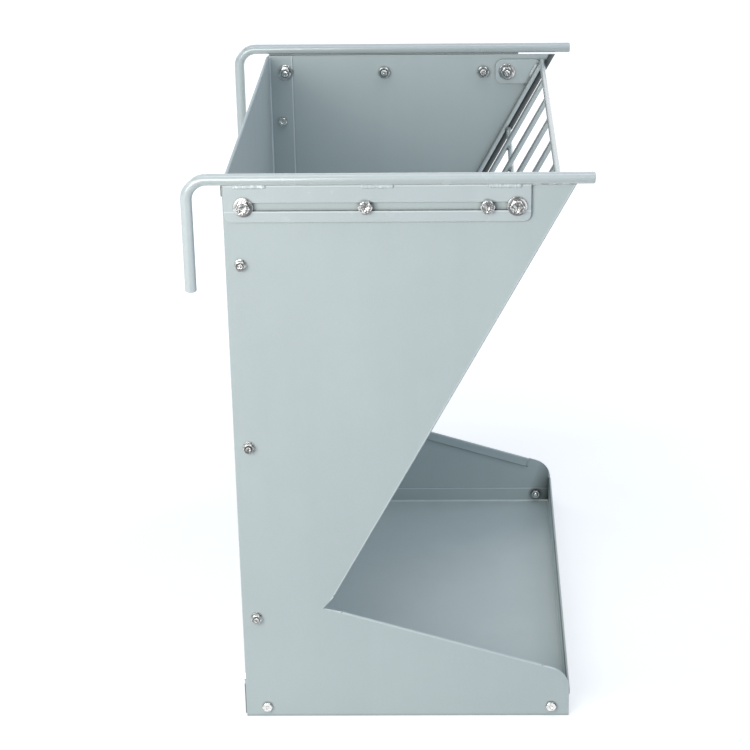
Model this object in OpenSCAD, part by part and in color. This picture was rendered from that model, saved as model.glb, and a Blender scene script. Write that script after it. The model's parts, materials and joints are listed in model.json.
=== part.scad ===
// Sheep feed trough that hangs on a rail or stands on the floor.
// Millimetres. X across the width, the animals stand at -Y, +Z up.
// The origin is on the floor under the middle of the side panels.

/* [Body] */
// Width over the outer faces of the two side panels
body_width = 550; // [420:1:760]
// Depth of the side panels from rear edge to front edge
body_depth = 355; // [330:1:420]
// Height of the side panels
body_height = 610; // [560:1:700]
// Thickness of the sheet metal
sheet = 1.5; // [1:0.1:2.5]
// Inside radius of the bends
bend_radius = 1.5; // [1:0.1:3]

/* [Side panel] */
// Distance from the rear edge to the throat
throat_depth = 92.5; // [75:0.5:110]
// Height of the throat above the floor
throat_height = 134; // [115:1:160]
// Height where the wing line would meet the front edge
wing_front_height = 54.5; // [50:0.5:70]
// Radius of the wing's front corner
wing_corner_radius = 27; // [18:0.5:29]
// Width of the hem along the sloping edge
slope_hem = 6.5; // [5:0.1:7.4]
// Width of the hem along the wing
wing_hem = 12; // [8:0.5:16]
// Gap inside a folded hem
hem_gap = 0.4; // [0.3:0.1:0.8]
// Distance from the throat to the start of each hem
hem_relief = 17; // [10:0.5:25]
// Length of the cut past each end of a fold
hem_notch = 1; // [0.5:0.1:2]
// Depth of the cut behind the throat, between the two hems
throat_notch = 4.5; // [2:0.5:8]
// Distance from the end of the wing hem to the corner arc
hem_end_margin = 11; // [4:0.5:20]

/* [Back panel] */
// Width of the flange down each side
back_flange = 30; // [27:0.5:36]
// Width of the hem along the top edge
back_hem = 12; // [8:0.5:16]

/* [Tray pan] */
// Height of the flange along each side
tray_flange = 20; // [18:0.5:26]
// Height of the front lip
lip_height = 35; // [28:0.5:45]
// Width of the hem on the front lip
lip_hem = 9; // [6:0.5:12]
// Distance from the panels' front edge back to the lip
lip_setback = 1; // [0.5:0.1:3]
// Height of the rear upstand
upstand_height = 39.5; // [38:0.5:60]
// Gap between the side flanges and the lip or the back panel
flange_end_gap = 0.5; // [0.3:0.1:2]

/* [Hooks] */
// Diameter of the hook rod
rod_diameter = 12; // [10:0.5:14]
// Height of the rod's underside above the side panel
rod_lift = 1.5; // [1:0.1:4]
// Distance the rod runs past the panel's front edge
rod_overhang = 18; // [8:1:40]
// Chamfer round the ends of the rod
rod_chamfer = 1; // [0.5:0.1:2]
// Gap for the rail between the back panel and the hook
rail_gap = 30; // [22:1:50]
// Inside radius of the hook bend
hook_bend = 15; // [12:0.5:24]
// Length of the hook below the rod's centre line
hook_drop = 118; // [90:1:160]
// Thickness of the slotted strap
strap_thickness = 3; // [2:0.5:5]
// Distance from the pivot bolt to the front end of the slotted strap
strap_front_margin = 14; // [12:0.5:20]
// Height of the slotted strap
strap_height = 38.5; // [34:0.5:50]
// Distance from the panel's rear edge to the strap
strap_setback = 1.5; // [1:0.5:6]
// Radius of the strap's lower corners
strap_corner = 8; // [3:0.5:12]
// Width of the slot
slot_width = 9; // [8.6:0.1:10]
// Travel of the strap each way from the middle
slot_travel = 5; // [2:0.5:6]
// Sliding gap on each face of the strap
slide_gap = 0.2; // [0.1:0.05:0.4]
// Radius of the weld run under the rod
hook_weld_radius = 2; // [1:0.1:3]
// Length of each weld run under the rod
hook_weld_length = 34; // [20:1:60]
// Distance from each end of the strap to its weld run
hook_weld_inset = 9; // [0:0.5:20]

/* [Strap bolts] */
// Distance from the top of the panel down to the bolts
strap_bolt_drop = 21; // [19:0.5:26]
// Distance from the rear edge to the first bolt
first_bolt = 21; // [19:0.5:23]
// Distance from the front edge to the grille pivot bolt
pivot_bolt = 59.5; // [56:0.5:66]
// Distance between the pivot bolt and the slot bolt next to it
pivot_gap = 29.5; // [28:0.5:40]
// Diameter of the strap bolts
m8_diameter = 8; // [7.5:0.1:8.2]
// Clearance of the holes for the strap bolts
m8_clearance = 0.8; // [0.5:0.1:1.2]
// Width of the M8 heads and nuts across flats
m8_flats = 13; // [12:0.5:14]
// Height of the M8 heads
m8_head = 5.3; // [4:0.1:7]
// Height of the M8 nuts
m8_nut = 6.5; // [5:0.1:8]
// Outer diameter of the wide washers
m8_washer = 20; // [17:0.5:22]
// Thickness of the wide washers
m8_washer_thickness = 1.6; // [1:0.1:2]
// Length of M8 thread that stands out of a nut
m8_tail = 2.5; // [1:0.5:6]
// Radial gap between a thread and its nut
thread_gap = 0.05; // [0.02:0.01:0.1]

/* [Small bolts] */
// Diameter of the small bolts
m6_diameter = 6; // [5:0.5:6.5]
// Clearance of the holes for the small bolts
m6_clearance = 0.6; // [0.4:0.1:1]
// Width of the M6 heads and nuts across flats
m6_flats = 10; // [9:0.5:11]
// Height of the M6 heads
m6_head = 4; // [3:0.1:5]
// Height of the M6 nuts
m6_nut = 5; // [4:0.1:6]
// Outer diameter of the M6 washers
m6_washer = 12.5; // [12:0.1:14]
// Thickness of the M6 washers
m6_washer_thickness = 1.2; // [0.8:0.1:1.6]
// Length of M6 thread that stands out of a nut
m6_tail = 2; // [1:0.5:4]
// Distance from the rear edge to the back flange bolts
flange_bolt_depth = 15.5; // [14:0.5:18]
// Height of the lowest back flange bolt
flange_bolt_height = 123; // [110:1:140]
// Distance from the top of the panel down to the highest back flange bolt
flange_bolt_drop = 83; // [50:1:120]
// Height of the bolts into the tray's side flanges
tray_bolt_height = 12.5; // [11:0.5:13]
// Distance from the rear edge to the rear tray bolt
tray_bolt_rear = 23; // [18:0.5:30]
// Distance from the front edge to the front tray bolt
tray_bolt_front = 19.5; // [16:0.5:30]
// Height of the bolts through the rear upstand
upstand_bolt_height = 28; // [25:0.5:32]
// Distance from the side panel to the nearest bolt through the rear upstand
upstand_bolt_inset = 39; // [20:1:80]

/* [Grille] */
// Diameter of the grille rods
grille_rod = 6.5; // [5:0.5:8]
// Distance of the bars' centre line inside the sloping edge
bar_inset = 10.8; // [10:0.1:12]
// Distance down the slope from the top corner to the top rod
top_rod_drop = 15; // [12:0.5:20]
// Distance between the rods down the slope
cross_rod_pitch = 95; // [80:1:100]
// Number of cross rods below the top rod
cross_rods = 4; // [2:1:4]
// Number of spaces between the bars
bar_spaces = 6; // [4:1:9]
// Distance the bars run past the lowest cross rod
bar_tail = 8; // [5:0.5:12]
// Thickness of the pivot tabs
tab_thickness = 3; // [2:0.5:4]
// Height of the pivot tabs
tab_height = 30; // [26:0.5:32]
// Corner radius of the pivot tabs
tab_corner = 9; // [5:0.5:12]
// Distance from the pivot to the rear end of the tab
tab_rear = 14; // [11:0.5:16]
// Distance from the side panel's front edge to the front end of the tab
tab_front = 17; // [14:0.5:22]
// Radial clearance of the pivot bolt in its tab
pivot_clearance = 0.08; // [0.02:0.01:0.1]
// Clearance between the pivot tab and the side panel
tab_gap = 0.2; // [0.1:0.05:0.4]
// Radius of the weld beads on the grille
grille_weld = 2.4; // [1:0.1:3]
// Length of the weld beads on the grille
grille_weld_length = 18; // [10:1:22]

/* [Hidden] */

// Fine enough for every drilled hole and rod
$fn = 48;
// How far a cutting body runs past the face it cuts
cut = 1;
// How far the shapes of one piece run into each other
join = 0.01;

// Paint and metal colours
paint = [0.70, 0.76, 0.75];
zinc = [0.80, 0.81, 0.83];

// Planes of the body
rear_y = body_depth / 2;
front_y = -body_depth / 2;
panel_out_x = body_width / 2;
panel_in_x = panel_out_x - sheet;
flange_in_x = panel_in_x - sheet;

// Sloping edge, from the top front corner down to the throat
throat_y = rear_y - throat_depth;
slope_run = body_depth - throat_depth;
slope_rise = body_height - throat_height;
slope_length = sqrt(slope_run * slope_run + slope_rise * slope_rise);
slope_angle = atan2(slope_run, slope_rise);

// Ends of the cut behind the throat, on the sloping edge and on the wing edge
notch_reach = hem_relief - hem_notch;
slope_notch_end = [throat_y - notch_reach * sin(slope_angle), throat_height + notch_reach * cos(slope_angle)];

// Wing edge, from the throat to the rounded front corner
wing_run = slope_run;
wing_fall = throat_height - wing_front_height;
wing_angle = atan2(wing_fall, wing_run);
wing_length = sqrt(wing_run * wing_run + wing_fall * wing_fall);
wing_notch_end = [throat_y - notch_reach * cos(wing_angle), throat_height - notch_reach * sin(wing_angle)];
corner_tangent = wing_corner_radius * tan((90 - wing_angle) / 2);
corner_z = wing_front_height - corner_tangent;

// Folded hem
fold_radius = sheet + hem_gap / 2;
hem_root = sheet;
wing_hem_start = hem_relief;
wing_hem_length = wing_length - corner_tangent - hem_end_margin - hem_relief;
bend_outer = bend_radius + sheet;

// Strap bolts and slot
strap_bolt_z = body_height - strap_bolt_drop;
pivot_y = front_y + pivot_bolt;
slot_rear_bolt_y = rear_y - first_bolt;
slot_front_bolt_y = pivot_y + pivot_gap;
slot_bolt_ys = [slot_rear_bolt_y, (slot_rear_bolt_y + slot_front_bolt_y) / 2, slot_front_bolt_y];
m8_hole = m8_diameter + m8_clearance;
m6_hole = m6_diameter + m6_clearance;
strap_in_x = panel_out_x + slide_gap;
strap_out_x = strap_in_x + strap_thickness;
head_x = strap_out_x + slide_gap;
slot_rear_y = slot_bolt_ys[0] + slot_travel;
slot_front_y = pivot_y - slot_travel;

// Hook rod
rod_x = strap_in_x + strap_thickness / 2;
rod_z = body_height + rod_lift + rod_diameter / 2;
hook_y = rear_y + rail_gap + rod_diameter / 2;
hook_bend_axis = hook_bend + rod_diameter / 2;
rod_front_y = front_y - rod_overhang;
strap_rear_y = rear_y - strap_setback;
strap_front_y = pivot_y - strap_front_margin;
strap_length = strap_rear_y - strap_front_y;
strap_top_z = body_height + rod_lift;

// Small bolts
flange_bolt_y = rear_y - flange_bolt_depth;
flange_bolt_top = body_height - flange_bolt_drop;
flange_bolt_zs = [flange_bolt_height, (flange_bolt_height + flange_bolt_top) / 2, flange_bolt_top];
tray_bolt_ys = [rear_y - tray_bolt_rear, front_y + tray_bolt_front];
upstand_bolt_xs = [for (i = [-1 : 1]) i * (panel_out_x - upstand_bolt_inset)];

// Hexagon heads and nuts: width of the flat end face as a share of the width across flats
hex_face = 0.96;
// Slope of the chamfer round the end face
hex_chamfer_angle = 30;

// Grille
tab_out_x = panel_in_x - tab_gap;
tab_in_x = tab_out_x - tab_thickness;
side_bar_x = tab_in_x - grille_rod / 2;
bar_pitch = 2 * side_bar_x / bar_spaces;
bar_end = top_rod_drop + cross_rods * cross_rod_pitch + bar_tail;
tab_cut_inset = bar_inset - grille_rod / 2;
tab_front_y = front_y + tab_front;
tab_rear_y = pivot_y + tab_rear;
// How far below the top rod's centre line the bars' shaped ends stop
cope_depth = grille_rod / 6;

// Mirror image across the middle of the body
module side(s) {
    mirror([s > 0 ? 0 : 1, 0, 0]) children();
}

// The same piece on both sides
module both_sides() {
    side(1) children();
    side(-1) children();
}

// Turns a shape drawn in Y and Z into a plate between two X planes
module plate_yz(x_low, x_high) {
    translate([x_low, 0, 0])
        rotate([90, 0, 90])
            linear_extrude(x_high - x_low) children();
}

// Cylinder along X between two planes
module rod_x(x_low, x_high, diameter) {
    translate([x_low, 0, 0])
        rotate([0, 90, 0])
            cylinder(d = diameter, h = x_high - x_low);
}

// Hexagon along X between two planes, with a chamfered outer end
module hex_x(x_low, x_high, flats) {
    corner = flats / cos(30);
    height = x_high - x_low;
    face = flats * hex_face / 2;
    intersection() {
        translate([x_low, 0, 0])
            rotate([0, 90, 0])
                rotate([0, 0, 30])
                    cylinder(d = corner, h = height, $fn = 6);
        translate([x_low, 0, 0])
            rotate([0, 90, 0])
                rotate_extrude()
                    polygon([
                        [0, 0],
                        [corner / 2, 0],
                        [corner / 2, height - (corner / 2 - face) * tan(hex_chamfer_angle)],
                        [face, height],
                        [0, height]
                    ]);
    }
}

// Frame on the sloping edge: X across, Y into the hopper, -Z down the slope
module on_slope() {
    translate([0, front_y, body_height])
        rotate([slope_angle, 0, 0]) children();
}

// Frame on the wing edge: origin at the throat, -Y towards the front, -Z into the panel
module on_wing() {
    translate([0, throat_y, throat_height])
        rotate([wing_angle, 0, 0]) children();
}

// Bends

// Quarter ring from the -X axis round to the -Y axis
module quarter_bend() {
    difference() {
        circle(r = bend_outer);
        circle(r = bend_radius);
        translate([0, -bend_outer - cut]) square(2 * (bend_outer + cut));
        translate([-bend_outer - cut, 0]) square(2 * (bend_outer + cut));
    }
}

// Section of a hem: the sheet's edge comes in along +X at Y 0, folds over and returns at +Y
module hem_section(width) {
    translate([fold_radius, 0]) {
        difference() {
            translate([0, fold_radius]) circle(r = fold_radius);
            translate([0, fold_radius]) circle(r = hem_gap / 2);
            translate([0, -cut]) square([2 * fold_radius, 2 * fold_radius + 2 * cut]);
        }
        translate([-join, sheet + hem_gap]) square([width - fold_radius + join, sheet]);
        translate([-join, 0]) square([hem_root, sheet]);
    }
}

// Side panels

// Outline of the panel in Y and Z, with the wing's front corner as an arc
module panel_outline() {
    arc_centre = [front_y + wing_corner_radius, corner_z];
    arc_end = arc_centre + wing_corner_radius * [-sin(wing_angle), cos(wing_angle)];
    polygon([
        [rear_y, 0],
        [front_y, 0],
        [front_y, corner_z],
        arc_centre,
        arc_end,
        wing_notch_end,
        [throat_y + throat_notch, throat_height],
        slope_notch_end,
        [front_y, body_height],
        [rear_y, body_height]
    ]);
    translate(arc_centre) circle(r = wing_corner_radius);
}

// Takes the fold's width off the sheet along a hemmed edge, a little past the ends of the fold
module slope_hem_relief() {
    on_slope()
        translate([0, -fold_radius, -slope_length + notch_reach])
            cube([body_width, 2 * fold_radius, slope_length + body_height]);
}

module wing_hem_relief() {
    on_wing()
        translate([0, -wing_hem_start - wing_hem_length - hem_notch, -fold_radius])
            cube([body_width, wing_hem_length + 2 * hem_notch, 2 * fold_radius]);
}

// Folded hem along the sloping edge, cut level at the top
module slope_hem_fold() {
    intersection() {
        on_slope()
            translate([panel_out_x, 0, -slope_length + hem_relief])
                rotate([0, 0, 90])
                    linear_extrude(slope_length) hem_section(slope_hem);
        translate([0, -body_depth, 0]) cube([body_width, 2 * body_depth, body_height]);
    }
}

// Folded hem along the wing
module wing_hem_fold() {
    on_wing()
        translate([panel_out_x, -wing_hem_start - wing_hem_length, 0])
            rotate([-90, 90, 0])
                linear_extrude(wing_hem_length) hem_section(wing_hem);
}

// Holes through the side panel
module panel_holes() {
    for (y = slot_bolt_ys)
        translate([0, y, strap_bolt_z])
            rod_x(panel_in_x - cut, panel_out_x + cut, m8_hole);
    translate([0, pivot_y, strap_bolt_z])
        rod_x(panel_in_x - cut, panel_out_x + cut, m8_hole);
    for (z = flange_bolt_zs)
        translate([0, flange_bolt_y, z])
            rod_x(panel_in_x - cut, panel_out_x + cut, m6_hole);
    for (y = tray_bolt_ys)
        translate([0, y, tray_bolt_height])
            rod_x(panel_in_x - cut, panel_out_x + cut, m6_hole);
}

module side_panel() {
    difference() {
        plate_yz(panel_in_x, panel_out_x) panel_outline();
        slope_hem_relief();
        wing_hem_relief();
        panel_holes();
    }
    slope_hem_fold();
    wing_hem_fold();
}

module left_side_panel() {
    color(paint) side(-1) side_panel();
}

module right_side_panel() {
    color(paint) side(1) side_panel();
}

// Back panel

// Section of the back panel in X and Y: the web and a flange at each end
module back_section() {
    translate([-flange_in_x + bend_radius, rear_y - sheet])
        square([2 * (flange_in_x - bend_radius), sheet]);
    for (s = [0, 1])
        mirror([s, 0]) {
            translate([flange_in_x - bend_radius, rear_y - bend_outer])
                rotate(180) quarter_bend();
            translate([flange_in_x, rear_y - back_flange])
                square([sheet, back_flange - bend_outer]);
        }
}

module back_panel() {
    color(paint) {
        difference() {
            translate([0, 0, bend_outer])
                linear_extrude(body_height - bend_outer) back_section();
            // The flanges stop above the tray's side flanges
            for (s = [0, 1])
                mirror([s, 0, 0])
                    translate([flange_in_x - bend_outer, rear_y - back_flange - cut, 0])
                        cube([2 * bend_outer, back_flange + cut - sheet, tray_flange + flange_end_gap]);
            // Room for the fold along the top edge
            translate([-flange_in_x + bend_radius, rear_y - sheet - cut, body_height - fold_radius])
                cube([2 * (flange_in_x - bend_radius), sheet + 2 * cut, 2 * fold_radius]);
            both_sides() {
                translate([0, slot_bolt_ys[0], strap_bolt_z])
                    rod_x(flange_in_x - cut, panel_in_x + cut, m8_hole);
                for (z = flange_bolt_zs)
                    translate([0, flange_bolt_y, z])
                        rod_x(flange_in_x - cut, panel_in_x + cut, m6_hole);
            }
            for (x = upstand_bolt_xs)
                translate([x, rear_y + cut, upstand_bolt_height])
                    rotate([90, 0, 0]) cylinder(d = m6_hole, h = sheet + 2 * cut);
        }
        // Hem folded over to the rear along the top edge
        translate([-flange_in_x + bend_radius, rear_y - sheet, body_height])
            rotate([0, 90, 0])
                linear_extrude(2 * (flange_in_x - bend_radius)) hem_section(back_hem);
    }
}

// Tray pan

// Section of the pan in Y and Z: lip, floor and rear upstand
module pan_section() {
    lip_y = front_y + lip_setback;
    translate([lip_y + bend_outer, 0])
        square([rear_y + sheet - bend_outer - lip_y - bend_outer, sheet]);
    translate([lip_y + bend_outer, bend_outer]) quarter_bend();
    translate([lip_y, bend_outer]) square([sheet, lip_height - bend_outer - fold_radius]);
    translate([rear_y + sheet - bend_outer, bend_outer])
        mirror([1, 0]) quarter_bend();
    translate([rear_y, bend_outer]) square([sheet, upstand_height - bend_outer]);
}

// Flange along one side of the pan, drawn in X and Z
module pan_side_section() {
    translate([flange_in_x - bend_radius, bend_outer])
        mirror([1, 0]) quarter_bend();
    translate([flange_in_x, bend_outer]) square([sheet, tray_flange - bend_outer]);
    square([flange_in_x - bend_radius, sheet]);
}

module tray_pan() {
    side_rear_y = rear_y - sheet - flange_end_gap;
    side_front_y = front_y + lip_setback + sheet + flange_end_gap;
    color(paint) {
        difference() {
            union() {
                translate([-flange_in_x + bend_radius, 0, 0])
                    rotate([90, 0, 90])
                        linear_extrude(2 * (flange_in_x - bend_radius)) pan_section();
                both_sides()
                    translate([0, side_rear_y, 0])
                        rotate([90, 0, 0])
                            linear_extrude(side_rear_y - side_front_y) pan_side_section();
                // The lip and the rear upstand run out to the side panels
                both_sides() {
                    translate([0, front_y + lip_setback, bend_outer])
                        cube([panel_in_x, sheet, lip_height - bend_outer - fold_radius]);
                    translate([0, rear_y, bend_outer])
                        cube([panel_in_x, sheet, upstand_height - bend_outer]);
                }
            }
            both_sides()
                for (y = tray_bolt_ys)
                    translate([0, y, tray_bolt_height])
                        rod_x(flange_in_x - cut, panel_in_x + cut, m6_hole);
            for (x = upstand_bolt_xs)
                translate([x, rear_y + sheet + cut, upstand_bolt_height])
                    rotate([90, 0, 0]) cylinder(d = m6_hole, h = sheet + 2 * cut);
        }
        // Hem folded over to the front along the lip
        translate([panel_in_x, front_y + lip_setback + sheet, lip_height])
            rotate([0, -90, 0])
                rotate([0, 0, 180])
                    linear_extrude(2 * panel_in_x) hem_section(lip_hem);
    }
}

// Fasteners

// M8 bolt along X with its head's seat at the given plane, the shank towards the middle
module m8_bolt(seat_x, tip_x) {
    rod_x(tip_x, seat_x + join, m8_diameter);
    hex_x(seat_x, seat_x + m8_head, m8_flats);
}

// Hexagon nut along X between a seat and the middle of the body
module nut_x(seat_x, height, flats, bore) {
    difference() {
        translate([seat_x, 0, 0]) mirror([1, 0, 0]) hex_x(0, height, flats);
        rod_x(seat_x - height - cut, seat_x + cut, bore + 2 * thread_gap);
    }
}

// Flat washer along X with its outer face at the given plane
module washer_x(face_x, thickness, outer, bore) {
    difference() {
        rod_x(face_x - thickness, face_x, outer);
        rod_x(face_x - thickness - cut, face_x + cut, bore);
    }
}

// Planes that the M8 nuts press against inside
slot_nut_x = panel_in_x;
flange_nut_x = flange_in_x - m8_washer_thickness;
pivot_nut_x = tab_in_x - tab_gap - m8_washer_thickness;

module slot_bolts() {
    color(zinc) both_sides() {
        translate([0, slot_bolt_ys[0], strap_bolt_z])
            m8_bolt(head_x + m8_washer_thickness, flange_nut_x - m8_nut - m8_tail);
        for (i = [1, 2])
            translate([0, slot_bolt_ys[i], strap_bolt_z])
                m8_bolt(head_x, slot_nut_x - m8_nut - m8_tail);
    }
}

module slot_nuts() {
    color(zinc) both_sides() {
        translate([0, slot_bolt_ys[0], strap_bolt_z])
            nut_x(flange_nut_x, m8_nut, m8_flats, m8_diameter);
        for (i = [1, 2])
            translate([0, slot_bolt_ys[i], strap_bolt_z])
                nut_x(slot_nut_x, m8_nut, m8_flats, m8_diameter);
    }
}

module pivot_bolts() {
    color(zinc) both_sides()
        translate([0, pivot_y, strap_bolt_z])
            m8_bolt(head_x + m8_washer_thickness, pivot_nut_x - m8_nut - m8_tail);
}

module pivot_nuts() {
    color(zinc) both_sides()
        translate([0, pivot_y, strap_bolt_z])
            nut_x(pivot_nut_x, m8_nut, m8_flats, m8_diameter);
}

module outer_washers() {
    color(zinc) both_sides()
        for (y = [slot_bolt_ys[0], pivot_y])
            translate([0, y, strap_bolt_z])
                washer_x(head_x + m8_washer_thickness, m8_washer_thickness, m8_washer, m8_hole);
}

module inner_washers() {
    color(zinc) both_sides() {
        translate([0, slot_bolt_ys[0], strap_bolt_z])
            washer_x(flange_in_x, m8_washer_thickness, m8_washer, m8_hole);
        translate([0, pivot_y, strap_bolt_z])
            washer_x(tab_in_x - tab_gap, m8_washer_thickness, m8_washer, m8_hole);
    }
}

// Plane that the nuts of the back flange bolts press against outside
flange_nut_seat_x = panel_out_x + m6_washer_thickness;

// M6 bolts down the back flanges: heads inside, nuts outside
module back_flange_bolts() {
    color(zinc) both_sides()
        for (z = flange_bolt_zs)
            translate([0, flange_bolt_y, z]) {
                translate([flange_in_x, 0, 0]) mirror([1, 0, 0]) hex_x(0, m6_head, m6_flats);
                rod_x(flange_in_x - join, flange_nut_seat_x + m6_nut + m6_tail, m6_diameter);
            }
}

module back_flange_washers() {
    color(zinc) both_sides()
        for (z = flange_bolt_zs)
            translate([0, flange_bolt_y, z])
                washer_x(flange_nut_seat_x, m6_washer_thickness, m6_washer, m6_hole);
}

module back_flange_nuts() {
    color(zinc) both_sides()
        for (z = flange_bolt_zs)
            translate([0, flange_bolt_y, z])
                difference() {
                    hex_x(flange_nut_seat_x, flange_nut_seat_x + m6_nut, m6_flats);
                    rod_x(panel_out_x, flange_nut_seat_x + m6_nut + cut, m6_diameter + 2 * thread_gap);
                }
}

// M6 bolts into the tray's side flanges: heads outside, nuts inside
module tray_side_bolts() {
    color(zinc) both_sides()
        for (y = tray_bolt_ys)
            translate([0, y, tray_bolt_height]) {
                hex_x(panel_out_x, panel_out_x + m6_head, m6_flats);
                rod_x(flange_in_x - m6_nut - m6_tail, panel_out_x + join, m6_diameter);
            }
}

module tray_side_nuts() {
    color(zinc) both_sides()
        for (y = tray_bolt_ys)
            translate([0, y, tray_bolt_height])
                nut_x(flange_in_x, m6_nut, m6_flats, m6_diameter);
}

// Frame on the rear upstand at each of its bolts: +X points out to the rear
module at_upstand_bolts() {
    for (x = upstand_bolt_xs)
        translate([x, rear_y, upstand_bolt_height])
            rotate([0, 0, 90]) children();
}

module tray_rear_bolts() {
    color(zinc) at_upstand_bolts() {
        hex_x(sheet, sheet + m6_head, m6_flats);
        rod_x(-sheet - m6_nut - m6_tail, sheet + join, m6_diameter);
    }
}

module tray_rear_nuts() {
    color(zinc) at_upstand_bolts() nut_x(-sheet, m6_nut, m6_flats, m6_diameter);
}

// Hooks

// Hook bar along +Z with a chamfer round its lower end
module chamfered_bar(length) {
    rotate_extrude()
        polygon([
            [0, 0],
            [rod_diameter / 2 - rod_chamfer, 0],
            [rod_diameter / 2, rod_chamfer],
            [rod_diameter / 2, length],
            [0, length]
        ]);
}

module hook_rod() {
    color(paint) {
        translate([rod_x, rod_front_y, rod_z])
            rotate([-90, 0, 0])
                chamfered_bar(hook_y - hook_bend_axis - rod_front_y);
        translate([rod_x, hook_y - hook_bend_axis, rod_z - hook_bend_axis])
            rotate([90, 0, 90])
                rotate_extrude(angle = 90)
                    translate([hook_bend_axis, 0]) circle(d = rod_diameter);
        translate([rod_x, hook_y, rod_z - hook_drop])
            chamfered_bar(hook_drop - hook_bend_axis);
    }
}

// Strap outline in Y and Z with rounded lower corners
module strap_outline() {
    low_z = strap_top_z - strap_height;
    translate([strap_front_y, low_z + strap_corner])
        square([strap_length, strap_height - strap_corner]);
    translate([strap_front_y + strap_corner, low_z])
        square([strap_length - 2 * strap_corner, strap_corner + join]);
    for (y = [strap_front_y + strap_corner, strap_rear_y - strap_corner])
        translate([y, low_z + strap_corner]) circle(r = strap_corner);
}

module hook_strap() {
    color(paint) difference() {
        plate_yz(strap_in_x, strap_out_x) strap_outline();
        for (y = [slot_rear_y, slot_front_y])
            translate([0, y, strap_bolt_z])
                rod_x(strap_in_x - cut, strap_out_x + cut, slot_width);
        translate([strap_in_x - cut, slot_front_y, strap_bolt_z - slot_width / 2])
            cube([strap_thickness + 2 * cut, slot_rear_y - slot_front_y, slot_width]);
    }
}

// Fillet weld runs between the strap's top edge and the rod, on the outer face
module hook_welds() {
    run_ys = [
        strap_rear_y - hook_weld_inset - hook_weld_length,
        (strap_rear_y + strap_front_y - hook_weld_length) / 2,
        strap_front_y + hook_weld_inset
    ];
    color(paint) difference() {
        for (y = run_ys)
            translate([strap_out_x, y, strap_top_z])
                rotate([-90, 0, 0]) cylinder(r = hook_weld_radius, h = hook_weld_length);
        translate([rod_x, rod_front_y, rod_z])
            rotate([-90, 0, 0]) cylinder(d = rod_diameter, h = body_depth + rod_overhang);
        translate([strap_in_x - cut, rod_front_y, 0])
            cube([strap_thickness + cut, body_depth + rod_overhang, strap_top_z]);
    }
}

module left_hook_rod() { side(-1) hook_rod(); }
module left_hook_strap() { side(-1) hook_strap(); }
module left_hook_welds() { side(-1) hook_welds(); }
module right_hook_rod() { side(1) hook_rod(); }
module right_hook_strap() { side(1) hook_strap(); }
module right_hook_welds() { side(1) hook_welds(); }

// Grille

// Rod across the grille at a distance down the slope and inside the sloping edge
module cross_rod(down, inset, half_length) {
    translate([0, inset, -down]) rod_x(-half_length, half_length, grille_rod);
}

// Bar down the slope, its top end shaped to the top rod
module grille_bar(x) {
    difference() {
        translate([x, bar_inset, -bar_end])
            cylinder(d = grille_rod, h = bar_end - top_rod_drop - cope_depth);
        cross_rod(top_rod_drop, bar_inset, body_width);
    }
}

module grille_top_rod() {
    color(paint) on_slope() cross_rod(top_rod_drop, bar_inset, tab_in_x);
}

module grille_cross_rods() {
    color(paint) on_slope()
        for (i = [1 : cross_rods])
            cross_rod(top_rod_drop + i * cross_rod_pitch, bar_inset - grille_rod, tab_in_x);
}

module grille_side_bars() {
    color(paint) on_slope()
        for (s = [-1, 1]) grille_bar(s * side_bar_x);
}

module grille_bars() {
    color(paint) on_slope()
        for (i = [1 : bar_spaces - 1]) grille_bar(-side_bar_x + i * bar_pitch);
}

// Tab outline in Y and Z round the pivot, before its front end is cut to the slope
module tab_outline() {
    span = tab_rear_y - tab_front_y;
    translate([tab_front_y, strap_bolt_z - tab_height / 2 + tab_corner])
        square([span, tab_height - 2 * tab_corner]);
    translate([tab_front_y + tab_corner, strap_bolt_z - tab_height / 2])
        square([span - 2 * tab_corner, tab_height]);
    for (y = [tab_front_y + tab_corner, tab_rear_y - tab_corner])
        for (z = [-1, 1])
            translate([y, strap_bolt_z + z * (tab_height / 2 - tab_corner)])
                circle(r = tab_corner);
}

module pivot_tab() {
    color(paint) difference() {
        plate_yz(tab_in_x, tab_out_x) tab_outline();
        on_slope()
            translate([0, tab_cut_inset - body_depth, -body_height])
                cube([body_width, body_depth, 2 * body_height]);
        translate([0, pivot_y, strap_bolt_z])
            rod_x(tab_in_x - cut, tab_out_x + cut, m8_diameter + 2 * pivot_clearance);
    }
}

module grille_left_tab() { side(-1) pivot_tab(); }
module grille_right_tab() { side(1) pivot_tab(); }

// Weld bead along each side bar on its tab, level with the pivot
module grille_welds() {
    bead_down = (strap_bolt_drop + bar_inset * sin(slope_angle)) / cos(slope_angle);
    color(paint) both_sides()
        difference() {
            on_slope()
                translate([tab_in_x, bar_inset + grille_rod / 2, -bead_down - grille_weld_length / 2])
                    cylinder(r = grille_weld, h = grille_weld_length);
            on_slope()
                translate([side_bar_x, bar_inset, -bar_end])
                    cylinder(d = grille_rod, h = bar_end);
            translate([tab_in_x, front_y, 0]) cube([body_width, body_depth, 2 * body_height]);
        }
}

left_side_panel();
right_side_panel();
back_panel();
tray_pan();
slot_bolts();
slot_nuts();
pivot_bolts();
pivot_nuts();
outer_washers();
inner_washers();
back_flange_bolts();
back_flange_washers();
back_flange_nuts();
tray_side_bolts();
tray_side_nuts();
tray_rear_bolts();
tray_rear_nuts();
left_hook_rod();
left_hook_strap();
left_hook_welds();
right_hook_rod();
right_hook_strap();
right_hook_welds();
grille_top_rod();
grille_cross_rods();
grille_side_bars();
grille_bars();
grille_left_tab();
grille_right_tab();
grille_welds();
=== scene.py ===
import bmesh
import bpy
import json
import math
from mathutils import Matrix, Vector


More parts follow.
